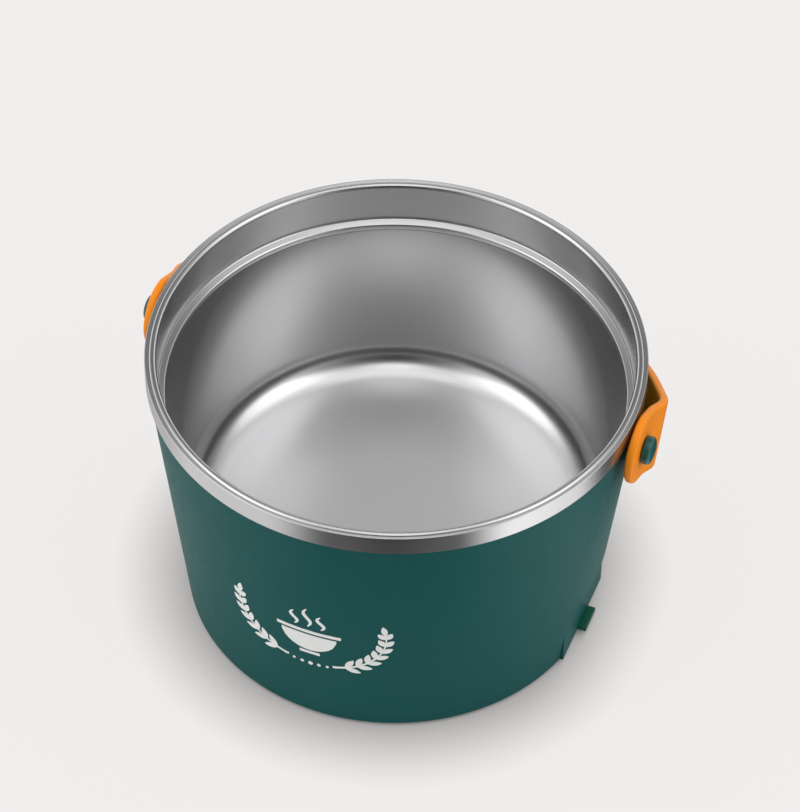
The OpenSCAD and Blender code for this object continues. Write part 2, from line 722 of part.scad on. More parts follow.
outer_shell();
inner_liner();
rim_band();
rim_seal();
insulation_sleeve();
heat_plate();
ptc_heater();
heater_clamp();
clamp_screws();
thermostat();
thermal_fuse();
fuse_clip();
heat_shield();
shield_nuts();
power_socket();
socket_pins();
socket_screws();
socket_cover();
live_lead();
link_lead();
return_lead();
neutral_lead();
base_cover();
base_screws();
foot_ring();
strap_handle();
right_washer();
left_washer();
right_rivet();
left_rivet();
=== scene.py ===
"""Looks of the electric lunch box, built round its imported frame.

Metres, +Z up. +X points to the inlet and the right rivet, -Y to the front.
"""
import math

import bmesh
import bpy
from mathutils import Matrix, Vector


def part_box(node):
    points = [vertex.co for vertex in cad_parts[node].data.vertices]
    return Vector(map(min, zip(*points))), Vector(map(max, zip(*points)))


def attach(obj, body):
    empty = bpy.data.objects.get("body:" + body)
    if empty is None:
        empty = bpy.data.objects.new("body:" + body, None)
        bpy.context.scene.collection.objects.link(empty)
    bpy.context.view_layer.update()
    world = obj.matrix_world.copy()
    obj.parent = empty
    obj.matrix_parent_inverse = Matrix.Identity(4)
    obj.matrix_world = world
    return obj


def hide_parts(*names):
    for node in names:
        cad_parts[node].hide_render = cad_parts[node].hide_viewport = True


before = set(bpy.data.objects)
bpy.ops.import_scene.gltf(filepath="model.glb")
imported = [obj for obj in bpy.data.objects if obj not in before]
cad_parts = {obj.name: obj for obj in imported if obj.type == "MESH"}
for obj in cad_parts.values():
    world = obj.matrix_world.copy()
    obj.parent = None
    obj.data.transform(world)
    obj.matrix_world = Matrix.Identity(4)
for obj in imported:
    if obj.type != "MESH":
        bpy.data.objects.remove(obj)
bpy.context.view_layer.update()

# Sizes read from the frame
RIM_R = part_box("rim_band")[1].x
BAND_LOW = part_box("rim_band")[0].z
BAND_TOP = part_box("rim_band")[1].z
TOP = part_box("inner_liner")[1].z
SHELL_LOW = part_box("outer_shell")[0].z
FLAP_LOW, FLAP_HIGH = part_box("socket_cover")
PIVOT_Z = (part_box("right_rivet")[0].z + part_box("right_rivet")[1].z) / 2

# Steel bowl: sheet, lip, seat, bead, cove and floor
SHEET = 0.0007
LIP_R = 0.00135
LIP_CURL = 20
SEAT_R = RIM_R - 0.0038
LIP_Z = TOP - LIP_R
LEDGE_Z = LIP_Z - 0.014
LEDGE_ROUND = 0.0005
LEDGE_SLOPE = 20
LEDGE_EDGE = 0.0008
LEDGE_EDGE_MID = (0.075768, 0.08945)
LEDGE_RUN = SEAT_R - LEDGE_ROUND - LEDGE_EDGE_MID[0]
LEDGE_FOOT = (SEAT_R - LEDGE_ROUND, LEDGE_EDGE_MID[1]
              + (LEDGE_EDGE + LEDGE_ROUND) / math.cos(math.radians(LEDGE_SLOPE))
              + LEDGE_RUN * math.tan(math.radians(LEDGE_SLOPE)))
BEAD_MID = (0.0769, 0.088711)
BEAD_R = LEDGE_Z - BEAD_MID[1]
BEAD_FROM = 220
FLOOR_Z = 0.030
FLOOR_R = 0.06816
WALL_R = 0.075311
WALL_LEAN = math.degrees(math.atan((WALL_R - FLOOR_R) / (BEAD_MID[1] - BEAD_R - FLOOR_Z)))
COVE_R = 0.012

# Steel band round the rim. The foot of its crest and its hem are given as (distance in from
# the rim, depth under the top), and its brushing fades out between two depths.
BAND_T = 0.00075
BAND_ROUND = 0.00035
BAND_SLOPE = 17
CREST_FOOT = (0.00135, 0.00029)
HEM = (0.0011, 0.0009)
CREST_FROM, CREST_FULL = 0.0012, 0.0007

# Green shell
SHELL_R_LOW = 0.0701
SHELL_R_HIGH = RIM_R - 0.0008
SHELL_HIGH = BAND_LOW - 0.0004

# Strap: width, thickness, edge, and the stretches that it follows from the rivet to its middle
STRAP_W = 0.0235
STRAP_T = 0.003
STRAP_EDGE = 0.0011
STRAP_X = RIM_R + 0.0006 + STRAP_T / 2
STRAP_RUN = 0.006
STRAP_FLARE = (10, 0.025)
FLARE_RUN = 0.0035
STRAP_FOLD = (-35, 0.014)
FOLD_RUN = 0.0115
STRAP_SIDE = (-30, 0.135)
STRAP_REST = 27.5653
RIVET_HOLE = 0.00306
STRAP_RUN_STEPS = 6
TAB_STEPS = 18
EDGE_STEPS = 6
EDGE_MARGIN = 0.0004
HOLE_STEPS = 48

# Print on the front of the shell
PRINT_TURN = math.radians(-90.5)
PRINT_R = 0.0755
PRINT_Z = 0.046
INK_RISE = 0.00006
INK_SINK = 0.00012

# Drawing of the print, in millimetres and degrees
BOWL_HALF = 9.6
SPRIG_MID = (5, 4)
SPRIG_R = (21, 19)
LEAF_LEAN = 38
LEAF_TIP = 0.12
LEAF_STEPS = 10

# Rivet caps
CAP_R = 0.0047
CAP_H = 0.0034
CAP_EDGE = 0.0003
CAP_ROUND = 0.0014
CROWN_TURN = 75
CAP_X = STRAP_X + STRAP_T / 2 + 0.0003
SHANK_R = 0.003

# Flap over the inlet
TAB_L = 0.003
TAB_W = 0.010
TAB_T = 0.0018
TAB_SINK = 0.0005
FLAP_PIN = 0.0015
FLAP_EDGE = 0.00025
SHARP_TURN = math.radians(40)

# Camera of the photograph, in the pot's own frame
VIEW_TURN = math.radians(20.5)
VIEW_PITCH = math.radians(46.45)
VIEW_ROLL = math.radians(0.945)
CAMERA_AT = (0.28573, -0.76015, 0.93403)
SENSOR = 36
PHOTO_FOCUS, PHOTO_HEIGHT = 3600, 812
LENS = PHOTO_FOCUS * SENSOR / PHOTO_HEIGHT

# Floor: how far the contact shadow painted into its glow reaches, how deep it is, how plain the
# paper stays, and over what distance from the pot the painted reflection seen by the steel comes
# in
SHADOW_REACH = 0.027
SHADOW_DEPTH = 1.08
PAPER_SHARE = 0.92
MIRROR_PAINT_FROM, MIRROR_PAINT_TO = 0.09, 0.14
FLOOR_REACH = 12

# Bearings run from 0 to 1: 0 and 1 are behind the pot, 0.25 is the left, 0.5 the camera's side
# and 0.75 the right
BEARING_SHIFT = 1.75

# How bright the steel sees the floor, by bearing: painted reflection light and shade on the
# floor's glow, darkest towards the camera
FLOOR_PAINT_FOR_STEEL = ((0.0, 1.2), (0.13, 0.6), (0.22, 0.85), (0.28, 1.25), (0.37, 1.25), (0.44, 0.1),
               (0.5, 0.02), (0.56, 0.12), (0.62, 2.0), (0.69, 1.6), (0.74, 0.1), (0.8, 0.0),
               (0.87, 0.1), (1.0, 1.2))

# Brightness of the surroundings, low down and half-way up by bearing, and overhead by height.
# The other two say by height how far the middle and the top have taken over.
WORLD_LOW = ((0.0, 1.2), (0.2, 1.2), (0.28, 1.25), (0.37, 1.25), (0.44, 0.1), (0.5, 0.02),
             (0.56, 0.1), (0.63, 1.4), (0.69, 1.3), (0.8, 1.2), (1.0, 1.2))
WORLD_MID = ((0.0, 0.18), (0.07, 0.24), (0.14, 0.55), (0.22, 1.2), (0.31, 1.4), (0.37, 1.0),
             (0.43, 0.25), (0.5, 0.05), (0.56, 0.15), (0.61, 0.45), (0.68, 1.25), (0.78, 0.55),
             (0.93, 0.24), (1.0, 0.18))
MID_BY_HEIGHT = ((0.0, 0.0), (0.3, 0.0), (0.55, 1.0), (1.0, 1.0))
TOP_BY_HEIGHT = ((0.0, 0.0), (0.76, 0.0), (0.87, 1.0), (1.0, 1.0))
OVERHEAD = ((0.0, 0.85), (0.95, 0.85), (0.98, 1.5), (1.0, 1.5))

# Colours as they are seen, sRGB from 0 to 255
GREEN = (24, 85, 84)
GREEN_SOFT = (14, 88, 66)
ORANGE = (248, 144, 24)
STEEL = (192, 192, 193)
BLASTED = (226, 226, 227)
BLASTED_METALLIC = 0.62
PAPER = (240, 238, 237)
INK = (238, 240, 238)
RIVET_GREEN = (16, 84, 80)
BLACK = (34, 34, 36)
RUBBER = (26, 26, 27)
SEAL = (196, 206, 202)
FELT = (214, 212, 204)
CERAMIC = (84, 60, 48)
PLATED = (190, 190, 192)
ALUMINIUM = (200, 202, 205)
RED = (190, 30, 28)
WHITE = (226, 226, 220)

# Grain of the materials: where noise is clipped, how far steel varies in gloss, how slowly its
# brushing changes round the axis, and the quarter turn that lays highlights across it
NOISE_RANGE = (0.3, 0.7)
STREAKS = 0.006
BRUSH_SLOWNESS = 0.004
ACROSS = 0.25

# Lamps: azimuth from the camera's side, elevation and width in degrees, and strength
LAMPS = {"left_lamp": (-80, 50, 40, 0.4), "right_lamp": (80, 50, 40, 0.46),
         "front_lamp": (0, 64, 20, 0.1)}


def linear(rgb, gain=1.0):
    """An sRGB colour from 0 to 255, as linear RGBA."""
    def one(c):
        c /= 255
        return gain * (c / 12.92 if c <= 0.04045 else ((c + 0.055) / 1.055) ** 2.4)
    return (*(one(c) for c in rgb), 1.0)


def arc(mid, r, a, b, n):
    """Points along an arc round mid, from angle a to b in degrees."""
    angles = [math.radians(a + (b - a) * i / n) for i in range(n + 1)]
    return [(mid[0] + r * math.cos(t), mid[1] + r * math.sin(t)) for t in angles]


def add_object(name, data):
    """An object in the scene for finished data."""
    obj = bpy.data.objects.new(name, data)
    bpy.context.scene.collection.objects.link(obj)
    return obj


def finished(bm, name):
    """The mesh of a bmesh that is no longer needed."""
    mesh = bpy.data.meshes.new(name)
    bm.to_mesh(mesh)
    bm.free()
    return mesh


def place(name, mesh, material, body, replaced=(), sharp=40):
    """An object for a finished mesh: shaded, riding on its body, standing for its CAD nodes."""
    mesh.validate()
    mesh.shade_smooth()
    mesh.set_sharp_from_angle(angle=math.radians(sharp))
    mesh.materials.append(material)
    obj = add_object(name, mesh)
    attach(obj, body)
    if replaced:
        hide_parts(*replaced)


def revolved(profile, segments=288):
    """A mesh turned round the Z axis from a closed profile of (radius, height) points."""
    mesh = bpy.data.meshes.new("revolved")
    verts, faces = [], []
    on_axis = [r < 1e-7 for r, _ in profile]
    index = []
    for (r, z), at_axis in zip(profile, on_axis):
        index.append(len(verts))
        if at_axis:
            verts.append((0, 0, z))
            continue
        for k in range(segments):
            t = 2 * math.pi * k / segments
            verts.append((r * math.cos(t), r * math.sin(t), z))
    count = len(profile)
    for i in range(count):
        j = (i + 1) % count
        if on_axis[i] and on_axis[j]:
            continue
        for k in range(segments):
            n = (k + 1) % segments
            a, b = index[i], index[j]
            if on_axis[i]:
                faces.append((a, b + n, b + k))
            elif on_axis[j]:
                faces.append((a + k, a + n, b))
            else:
                faces.append((a + k, a + n, b + n, b + k))
    mesh.from_pydata(verts, [], faces)
    fix_normals(mesh)
    return mesh


def fix_normals(mesh):
    """Turns all the faces of a closed mesh outwards."""
    bm = bmesh.new()
    bm.from_mesh(mesh)
    bmesh.ops.remove_doubles(bm, verts=bm.verts, dist=1e-7)
    bmesh.ops.recalc_face_normals(bm, faces=bm.faces)
    bm.to_mesh(mesh)
    bm.free()


def feed(tree, socket, value):
    """Links a socket to another, or sets it to a value."""
    if isinstance(value, bpy.types.NodeSocket):
        tree.links.new(value, socket)
    else:
        socket.default_value = value


def maths(tree, kind, *inputs):
    """A Math node's result, from numbers and sockets."""
    node = tree.nodes.new("ShaderNodeMath")
    node.operation = kind
    for socket, value in zip(node.inputs, inputs):
        feed(tree, socket, value)
    return node.outputs[0]


def blend(tree, part, low, high):
    """A value between two values."""
    rise = maths(tree, "MULTIPLY", part, maths(tree, "SUBTRACT", high, low))
    return maths(tree, "ADD", low, rise)


def off_axis(tree, x, y):
    """The distance from the Z axis."""
    square = maths(tree, "ADD", maths(tree, "MULTIPLY", x, x), maths(tree, "MULTIPLY", y, y))
    return maths(tree, "SQRT", square)


class Nodes:
    """Short calls for a material's node tree."""

    def __init__(self, name):
        self.material = bpy.data.materials.new(name)
        self.material.use_nodes = True
        self.tree = self.material.node_tree
        self.shader = self.tree.nodes["Principled BSDF"]

    def add(self, kind, links=(), **values):
        node = self.tree.nodes.new(kind)
        for key, value in values.items():
            setattr(node, key, value)
        for socket, source in dict(links).items():
            feed(self.tree, node.inputs[socket], source)
        return node

    def set(self, **values):
        for key, value in values.items():
            feed(self.tree, self.shader.inputs[key.replace("_", " ")], value)

    def coordinates(self):
        return self.add("ShaderNodeTexCoord").outputs["Object"]

    def split(self):
        """The object coordinates x, y and z."""
        return self.add("ShaderNodeSeparateXYZ", {"Vector": self.coordinates()}).outputs

    def noise(self, scale, detail=3, vector=None):
        """Noise in object space, whose scale is in features a metre, as its value socket."""
        return self.add("ShaderNodeTexNoise", {"Vector": vector or self.coordinates(),
                                               "Scale": scale, "Detail": detail}).outputs["Fac"]

    def ranged(self, value, start, end, low=0.0, high=1.0, **values):
        """A value that runs from low to high while another runs from start to end."""
        return self.add("ShaderNodeMapRange", {"Value": value, "From Min": start, "From Max": end,
                                               "To Min": low, "To Max": high}, **values).outputs[0]

    def spread(self, value, low, high):
        """Noise, spread from low to high."""
        return self.ranged(value, *NOISE_RANGE, low, high)

    def tinted(self, value, dark, light):
        """A colour between two colours, by a value from 0 to 1."""
        mix = self.add("ShaderNodeMix", {"Factor": value}, data_type="RGBA")
        ends = [socket for socket in mix.inputs if socket.type == "RGBA"]
        for socket, colour in zip(ends, (dark, light)):
            feed(self.tree, socket, colour)
        return next(socket for socket in mix.outputs if socket.type == "RGBA")

    def bump(self, height, distance):
        node = self.add("ShaderNodeBump", {"Height": height, "Distance": distance})
        self.set(Normal=node.outputs[0])


def plastic(name, colour, roughness, specular=0.5, grain=0.000002, grain_scale=2500,
            variation=0.05):
    """Moulded plastic: an even colour with faint clouds, and the fine grain of the mould."""
    m = Nodes(name)
    m.set(Base_Color=m.tinted(m.noise(45, 3), linear(colour, 1 - variation),
                              linear(colour, 1 + variation)),
          Roughness=m.spread(m.noise(300, 3), roughness - 0.03, roughness + 0.03),
          IOR=1.48, Specular_IOR_Level=specular)
    m.bump(m.noise(grain_scale, 2), grain)
    return m.material


def round_axis(m):
    """Coordinates that run slowly round the Z axis, out from it and along it, for brushing."""
    x, y, z = m.split()
    slow = maths(m.tree, "MULTIPLY", maths(m.tree, "ARCTAN2", y, x), BRUSH_SLOWNESS)
    return m.add("ShaderNodeCombineXYZ", {"X": slow, "Y": off_axis(m.tree, x, y),
                                          "Z": z}).outputs[0]


def steel(name, colour, roughness, brushed=0.0, floor_roughness=None):
    """Satin steel. With brushed, it spreads its highlights across the brushing, save on the
    crest of the band. With floor_roughness, the bowl's floor is blasted: duller and paler."""
    m = Nodes(name)
    turned = m.noise(2500, 2, vector=round_axis(m))
    gloss = m.spread(turned, roughness - STREAKS, roughness + STREAKS)
    tint = m.tinted(m.noise(30, 3), linear(colour, 0.96), linear(colour, 1.04))
    metallic = 1.0
    if floor_roughness:
        blasted = m.ranged(m.split()["Z"], FLOOR_Z + COVE_R / 3, FLOOR_Z)
        gloss = blend(m.tree, blasted, gloss, floor_roughness)
        tint = m.tinted(blasted, tint, linear(BLASTED))
        metallic = blend(m.tree, blasted, 1.0, BLASTED_METALLIC)
    m.set(Base_Color=tint, Roughness=gloss, Metallic=metallic)
    if brushed:
        fading = m.ranged(m.split()["Z"], BAND_TOP - CREST_FROM, BAND_TOP - CREST_FULL,
                          brushed, 0.0)
        around = m.add("ShaderNodeTangent", direction_type="RADIAL", axis="Z").outputs[0]
        m.set(Anisotropic=fading, Anisotropic_Rotation=ACROSS, Tangent=around)
    return m.material


def ink(name):
    """White print: flat ink with a slightly dry, uneven gloss."""
    m = Nodes(name)
    m.set(Base_Color=linear(INK), Roughness=m.spread(m.noise(900, 3), 0.42, 0.56), IOR=1.45)
    m.bump(m.noise(12000, 2), 0.000004)
    return m.material


def bowl_face(k):
    """One face of the bowl, a distance k into the sheet, from its middle to the end of its lip."""
    lean = math.radians(WALL_LEAN)
    cove_mid = (FLOOR_R + math.tan(lean) * COVE_R - COVE_R / math.cos(lean), FLOOR_Z + COVE_R)
    floor = [(cove_mid[0] * i / 12, FLOOR_Z - k) for i in range(12)]
    return (floor + arc(cove_mid, COVE_R + k, -90, -WALL_LEAN, 24)
            + arc(BEAD_MID, BEAD_R - k, BEAD_FROM, 180, 8)
            + arc(LEDGE_EDGE_MID, LEDGE_EDGE - k, 180, 90 + LEDGE_SLOPE, 12)
            + arc(LEDGE_FOOT, LEDGE_ROUND + k, LEDGE_SLOPE - 90, 0, 8)
            + arc((SEAT_R + LIP_R, LIP_Z), LIP_R - k, 180, -LIP_CURL, 24))


def build_bowl(material):
    profile = bowl_face(0) + bowl_face(SHEET)[::-1]
    place("bowl", revolved(profile), material, "pot", ["inner_liner"], sharp=50)


def build_band(material):
    mid = (RIM_R - BAND_ROUND, BAND_TOP - BAND_ROUND)
    profile = [(RIM_R, BAND_LOW)] + arc(mid, BAND_ROUND, 0, 90 + BAND_SLOPE, 10)
    profile += [(RIM_R - inward, BAND_TOP - depth) for inward, depth in (CREST_FOOT, HEM)]
    profile += [(RIM_R - BAND_T, BAND_TOP - HEM[1]), (RIM_R - BAND_T, BAND_LOW)]
    place("band", revolved(profile), material, "pot", ["rim_band"], sharp=50)


def strap_stations():
    """Half of the strap's middle line, from the rivet to the top of the arch, as
    [length, x, y, heading], with the heading in degrees, 0 along +Y and positive towards +X."""
    stations = [[0.0, STRAP_X, 0.0, 0.0]]

    def ahead(length, steps):
        for _ in range(steps):
            s, x, y, h = stations[-1]
            d = length / steps
            t = math.radians(h)
            stations.append([s + d, x + d * math.sin(t), y + d * math.cos(t), h])

    def bend(turn, radius, steps):
        for _ in range(steps):
            s, x, y, h = stations[-1]
            a = turn / steps
            q = math.copysign(radius, a)
            t, u = math.radians(h), math.radians(h + a)
            stations.append([s + radius * abs(u - t), x + q * (math.cos(t) - math.cos(u)),
                             y + q * (math.sin(u) - math.sin(t)), h + a])

    ahead(STRAP_RUN, STRAP_RUN_STEPS)
    bend(*STRAP_FLARE, 6)
    ahead(FLARE_RUN, 4)
    bend(*STRAP_FOLD, 16)
    ahead(FOLD_RUN, 6)
    bend(*STRAP_SIDE, 20)
    heading = stations[-1][3]
    bend(-90 - heading, stations[-1][1] / math.cos(math.radians(-heading)), 24)
    return stations


def strap_outline():
    """Half of the strap's outline in the flat, as (station, offset across, outward direction
    along, outward direction across), from the tip of the tab to the top of the arch."""
    first, half = strap_stations()[0], STRAP_W / 2
    outline = []
    for i in range(TAB_STEPS):
        t = math.radians(90 * i / TAB_STEPS)
        station = [first[0], first[1], first[2] - half * math.cos(t), first[3]]
        outline.append((station, half * math.sin(t), -math.cos(t), math.sin(t)))
    return outline + [(s, half, 0.0, 1.0) for s in strap_stations()]


def edge_profile():
    """Inset and height of the strap's rounded edge, from its upper face to its lower face."""
    half = STRAP_T / 2
    top = [(STRAP_EDGE + EDGE_MARGIN, half)]
    for i in range(EDGE_STEPS + 1):
        t = math.radians(90 * i / EDGE_STEPS)
        top.append((STRAP_EDGE * (1 - math.sin(t)), half - STRAP_EDGE * (1 - math.cos(t))))
    return top + [(d, -u) for d, u in top[::-1]]


def strap_mesh():
    """The strap as one closed skin. Loops follow its outline round the rounded edge, and flat
    strips across join the innermost loops. Round each rivet, the strips leave a hole."""
    outline = strap_outline()
    tip_to_top = len(outline)
    whole = [(s, w, e, x, 1) for s, w, e, x in outline]
    whole += [([s[0], -s[1], s[2], -s[3]], w, e, x, -1) for s, w, e, x in outline[-2::-1]]
    bm = bmesh.new()

    def vertex(entry, across, inset, height):
        (_, x, y, heading), w, along, aside, side = entry
        t = math.radians(heading)
        run = -inset * along
        x += run * math.sin(t) + side * height * math.cos(t)
        y += run * math.cos(t) - side * height * math.sin(t)
        return bm.verts.new((x, y, across * (w - inset * aside)))

    loops = []
    for inset, height in edge_profile():
        upper = [vertex(e, 1, inset, height) for e in whole]
        lower = [vertex(e, -1, inset, height) if e[1] > 0 else None for e in whole]
        loops.append((upper, lower))
    n = len(whole)
    for (u0, l0), (u1, l1) in zip(loops, loops[1:]):
        for a, b in ((u0, u1), (l0, l1)):
            for i in range(n - 1):
                quad = [a[i] or u0[i], a[i + 1] or u0[i + 1], b[i + 1] or u1[i + 1],
                        b[i] or u1[i]]
                bm.faces.new(quad)
    flat = tip_to_top - len(strap_stations()) + STRAP_RUN_STEPS
    for upper, lower in (loops[0], loops[-1]):
        for i in range(flat, n - 1 - flat):
            bm.faces.new([upper[i], upper[i + 1], lower[i + 1], lower[i]])
    for side, first, last in ((1, 0, flat), (-1, n - 1 - flat, n - 1)):
        fill_tab(bm, side, loops, first, last)
    bmesh.ops.recalc_face_normals(bm, faces=bm.faces)
    return finished(bm, "strap")


def fill_tab(bm, side, loops, first, last):
    """The flats of a tab on both faces of the strap, and the hole for its rivet."""
    holes = []
    for level, (upper, lower) in ((1, loops[0]), (-1, loops[-1])):
        x = side * (STRAP_X + level * STRAP_T / 2)
        turns = [2 * math.pi * k / HOLE_STEPS for k in range(HOLE_STEPS)]
        hole = [bm.verts.new((x, RIVET_HOLE * math.sin(t), RIVET_HOLE * math.cos(t)))
                for t in turns]
        border = [v for v in upper[first:last + 1] + lower[first:last + 1][::-1] if v]
        edges = [edge_of(bm, a, b) for ring in (border, hole)
                 for a, b in zip(ring, ring[1:] + ring[:1])]
        bmesh.ops.triangle_fill(bm, edges=edges, use_beauty=True, use_dissolve=False)
        holes.append(hole)
    outer, inner = holes
    for k in range(HOLE_STEPS):
        j = (k + 1) % HOLE_STEPS
        bm.faces.new([outer[k], outer[j], inner[j], inner[k]])


def edge_of(bm, a, b):
    """The edge between two points, made where there is none."""
    return bm.edges.get((a, b)) or bm.edges.new((a, b))


def build_strap(material):
    mesh = strap_mesh()
    mesh.transform(Matrix.Translation((0, 0, PIVOT_Z))
                   @ Matrix.Rotation(math.radians(-STRAP_REST), 4, "X"))
    place("strap", mesh, material, "strap", ["strap_handle"], sharp=40)


def build_rivet(side, name, node, material):
    """Cap with a straight side, a round shoulder and a slightly domed top, on its shank."""
    turn = math.radians(CROWN_TURN)
    crown_r = (CAP_R - CAP_ROUND * (1 - math.cos(turn))) / math.cos(turn)
    crown_z = CAP_X + CAP_H - crown_r
    shoulder_z = crown_z + (crown_r - CAP_ROUND) * math.sin(turn)
    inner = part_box(node)[0].x if side > 0 else -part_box(node)[1].x
    profile = [(0.0, inner), (SHANK_R, inner), (SHANK_R, CAP_X)]
    profile += arc((CAP_R - CAP_EDGE, CAP_X + CAP_EDGE), CAP_EDGE, -90, 0, 4)
    profile += arc((CAP_R - CAP_ROUND, shoulder_z), CAP_ROUND, 0, CROWN_TURN, 10)
    profile += arc((0.0, crown_z), crown_r, CROWN_TURN + 1, 90, 12)
    profile[-1] = (0.0, profile[-1][1])
    mesh = revolved(profile, 96)
    mesh.transform(Matrix.Translation((0, 0, PIVOT_Z))
                   @ Matrix.Rotation(side * math.pi / 2, 4, "Y"))
    place(name, mesh, material, "pot", [node], sharp=50)


def prism(profile, low, high, edge):
    """A bar whose cross-section is a profile of (x, z) points, from low to high along Y, with
    its sharp edges rounded."""
    bm = bmesh.new()
    ends = [[bm.verts.new((x, y, z)) for x, z in profile] for y in (low, high)]
    count = len(profile)
    for i in range(count):
        j = (i + 1) % count
        bm.faces.new((ends[0][i], ends[0][j], ends[1][j], ends[1][i]))
    bm.faces.new(ends[0])
    bm.faces.new(ends[1][::-1])
    bmesh.ops.recalc_face_normals(bm, faces=bm.faces)
    sharp = [e for e in bm.edges if e.calc_face_angle(0) > SHARP_TURN]
    bmesh.ops.bevel(bm, geom=sharp, offset=edge, segments=3, profile=0.5, affect="EDGES",
                    clamp_overlap=True)
    return finished(bm, "prism")


def build_flap(material, tab_material):
    """Flap over the inlet, with a round hinge along its top edge and a pull tab at its foot."""
    left, low = FLAP_LOW.x, FLAP_LOW.z
    right = FLAP_HIGH.x - TAB_L
    barrel = (right - left) / 2
    half = FLAP_HIGH.y - FLAP_PIN
    profile = [(left, low), (right, low)]
    profile += arc((left + barrel, FLAP_HIGH.z - barrel), barrel, 0, 180, 12)
    place("flap", prism(profile, -half, half, FLAP_EDGE), material, "inlet_cover",
          ["socket_cover"], sharp=45)
    tab = [(right - TAB_SINK, low), (FLAP_HIGH.x, low), (FLAP_HIGH.x, low + TAB_T),
           (right - TAB_SINK, low + TAB_T)]
    place("pull_tab", prism(tab, -TAB_W / 2, TAB_W / 2, FLAP_EDGE), tab_material, "inlet_cover",
          sharp=45)


class Print:
    """White print on the shell's front, drawn flat in millimetres: u to the right along the
    shell, v up from the middle of the print. Each shape is a closed strip of pairs of points."""

    def __init__(self):
        self.bm = bmesh.new()

    def on_shell(self, u, v, proud):
        z = PRINT_Z + v / 1000
        rise = (z - SHELL_LOW) / (SHELL_HIGH - SHELL_LOW)
        r = SHELL_R_LOW + (SHELL_R_HIGH - SHELL_R_LOW) * rise
        t = PRINT_TURN + u / 1000 / PRINT_R
        return self.bm.verts.new(((r + proud) * math.cos(t), (r + proud) * math.sin(t), z))

    def strip(self, pairs):
        rows = [[self.on_shell(*p, h) for p in pair for h in (INK_RISE, -INK_SINK)]
                for pair in pairs]
        for (a, b, c, d), (e, f, g, h) in zip(rows, rows[1:]):
            for quad in ((a, c, g, e), (b, f, h, d), (a, e, f, b), (c, d, h, g)):
                self.bm.faces.new(quad)
        for a, b, c, d in (rows[0], rows[-1]):
            self.bm.faces.new((a, b, d, c))

    def stroke(self, points, widths):
        """A line along points, its width running from the first to the last of widths."""
        pairs = []
        last = len(points) - 1
        for i, (u, v) in enumerate(points):
            p, q = points[max(i - 1, 0)], points[min(i + 1, last)]
            du, dv = q[0] - p[0], q[1] - p[1]
            length = math.hypot(du, dv)
            place_at = i / last * (len(widths) - 1)
            k = min(int(place_at), len(widths) - 2)
            w = widths[k] + (widths[k + 1] - widths[k]) * (place_at - k)
            du, dv = du * w / 2 / length, dv * w / 2 / length
            pairs.append(((u - dv, v + du), (u + dv, v - du)))
        self.strip(pairs)

    def leaf(self, u, v, angle, length, width):
        """A leaf from its stalk, pointed at both ends, its sides curved."""
        t = math.radians(angle)
        n = LEAF_STEPS
        points = [(u + length * i / n * math.cos(t), v + length * i / n * math.sin(t))
                  for i in range(n + 1)]
        widths = [width * math.sin(math.pi * i / n) ** 0.8 for i in range(1, n)]
        self.stroke(points, [LEAF_TIP] + widths + [LEAF_TIP])

    def dot(self, u, v, r):
        self.strip([((u - r * math.cos(t), v + r * math.sin(t)),
                     (u + r * math.cos(t), v + r * math.sin(t)))
                    for t in (math.radians(85 - 17 * i) for i in range(11))])


def draw_sprig(ink_print, side):
    """A sprig of leaves that curves up beside the bowl."""
    stem = [(side * (SPRIG_MID[0] + SPRIG_R[0] * math.sin(t)),
             SPRIG_MID[1] - SPRIG_R[1] * math.cos(t)) for t in map(math.radians, range(8, 99, 6))]
    ink_print.stroke(stem, (0.9, 0.45))
    for k, (u, v) in enumerate(stem[2:-1:2]):
        heading = 20 + k * 13
        for lean in (LEAF_LEAN, -LEAF_LEAN):
            angle = heading + lean
            ink_print.leaf(u, v, angle if side > 0 else 180 - angle, 5.6 - 0.3 * k, 2.2)
    u, v = stem[-1]
    ink_print.leaf(u, v, 100 if side > 0 else 80, 5.0, 2.1)


def draw_bowl(ink_print):
    """A bowl on a foot, with a line for its brim and three wisps of steam."""
    half = BOWL_HALF
    ink_print.strip([((u, 0.2), (u, 0.2 - 8.6 * math.sqrt(max(1 - (u / (half + 0.1)) ** 2, 0.0))))
                     for u in (-half + half * i / 8 for i in range(17))])
    ink_print.strip([((u, 2.6), (u, 1.2)) for u in (-11.2 + 1.4 * i for i in range(17))])
    ink_print.strip([((u, -9.1), (u, -10.4)) for u in (-3.6 + 1.2 * i for i in range(7))])
    for u0, foot, height in ((-4.6, 4.6, 7.0), (0.0, 4.9, 9.4), (4.6, 4.6, 7.0)):
        wisp = [(u0 + 1.1 * math.sin(2 * math.pi * i / 16), foot + height * i / 16)
                for i in range(17)]
        ink_print.stroke(wisp, (0.4, 1.3, 1.3, 0.35))


def build_print(material):
    """A bowl between two sprigs, over a row of dots."""
    ink_print = Print()
    draw_bowl(ink_print)
    for side in (-1, 1):
        draw_sprig(ink_print, side)
        for k in range(3):
            ink_print.dot(side * (3.0 * k + 3.0), 0.25 * k * k - 15.9, 0.66 - 0.12 * k)
    ink_print.dot(0.0, -16.0, 0.85)
    bmesh.ops.recalc_face_normals(ink_print.bm, faces=ink_print.bm.faces)
    place("front_print", finished(ink_print.bm, "print"), material, "pot",
          sharp=30)


def dress(nodes, material):
    """Gives CAD nodes that stay in view their material."""
    for name in nodes:
        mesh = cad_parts[name].data
        mesh.materials.clear()
        mesh.materials.append(material)
        mesh.shade_smooth()
        mesh.set_sharp_from_angle(angle=math.radians(35))


def seen_as_is(tree):
    """1 for the rays of the camera, of mirrors and of glass, 0 for those that carry light."""
    path = tree.nodes.new("ShaderNodeLightPath")
    seen = path.outputs["Is Camera Ray"]
    for name in ("Is Glossy Ray", "Is Transmission Ray"):
        seen = maths(tree, "MAXIMUM", seen, path.outputs[name])
    return seen


